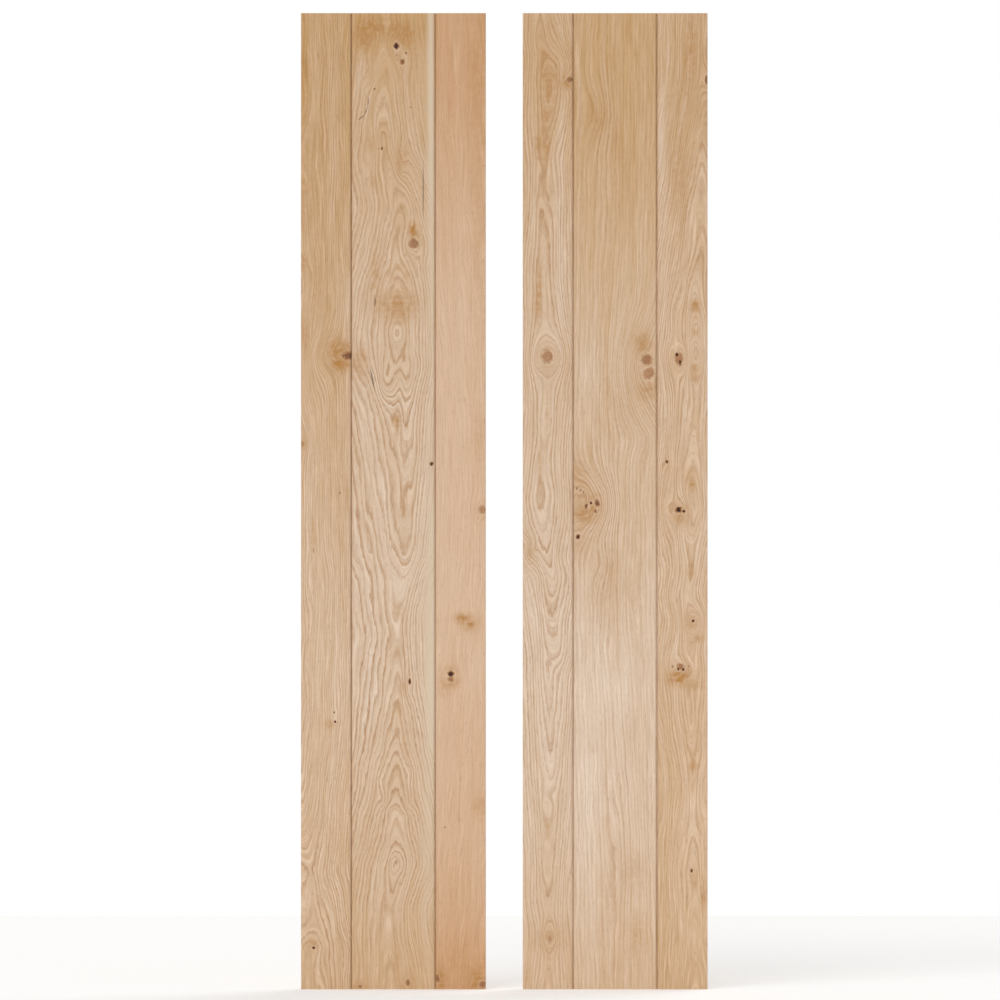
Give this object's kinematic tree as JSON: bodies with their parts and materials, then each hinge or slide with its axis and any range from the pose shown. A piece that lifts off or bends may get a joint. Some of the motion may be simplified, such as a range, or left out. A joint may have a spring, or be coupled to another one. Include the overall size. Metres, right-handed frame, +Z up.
{
  "type": "ledged oak bi-fold door",
  "caption": "Pair of narrow ledged oak door leaves with full-height V-jointed boards on the front and bevelled, pelleted ledges across the back, to be hinged as a folding door.",
  "frame": {"origin": "on the left leaf's hanging edge, in the middle of the boards' thickness, at the foot of the leaf", "axes": "+X along the door from the hanging edge to the lead edge, +Y from the boarded front to the ledged back, +Z up"},
  "size_m": [0.825, 0.04, 1.981],
  "materials": {
    "tan_oak_board": "matte",
    "pale_oak_board": "matte",
    "pink_oak_board": "matte",
    "oak_ledge": "matte",
    "oak_pellet": "matte"
  },
  "bodies": {
    "root": {"left_leaf_left_board": "tan_oak_board", "left_leaf_centre_board": "pale_oak_board", "left_leaf_right_board": "pink_oak_board", "left_leaf_bottom_ledge": "oak_ledge", "left_leaf_bottom_ledge_pellets": "oak_pellet", "left_leaf_middle_ledge": "oak_ledge", "left_leaf_middle_ledge_pellets": "oak_pellet", "left_leaf_top_ledge": "oak_ledge", "left_leaf_top_ledge_pellets": "oak_pellet", "right_leaf_left_board": "pale_oak_board", "right_leaf_centre_board": "pale_oak_board", "right_leaf_right_board": "tan_oak_board", "right_leaf_bottom_ledge": "oak_ledge", "right_leaf_bottom_ledge_pellets": "oak_pellet", "right_leaf_middle_ledge": "oak_ledge", "right_leaf_middle_ledge_pellets": "oak_pellet", "right_leaf_top_ledge": "oak_ledge", "right_leaf_top_ledge_pellets": "oak_pellet"}
  },
  "joints": []
}
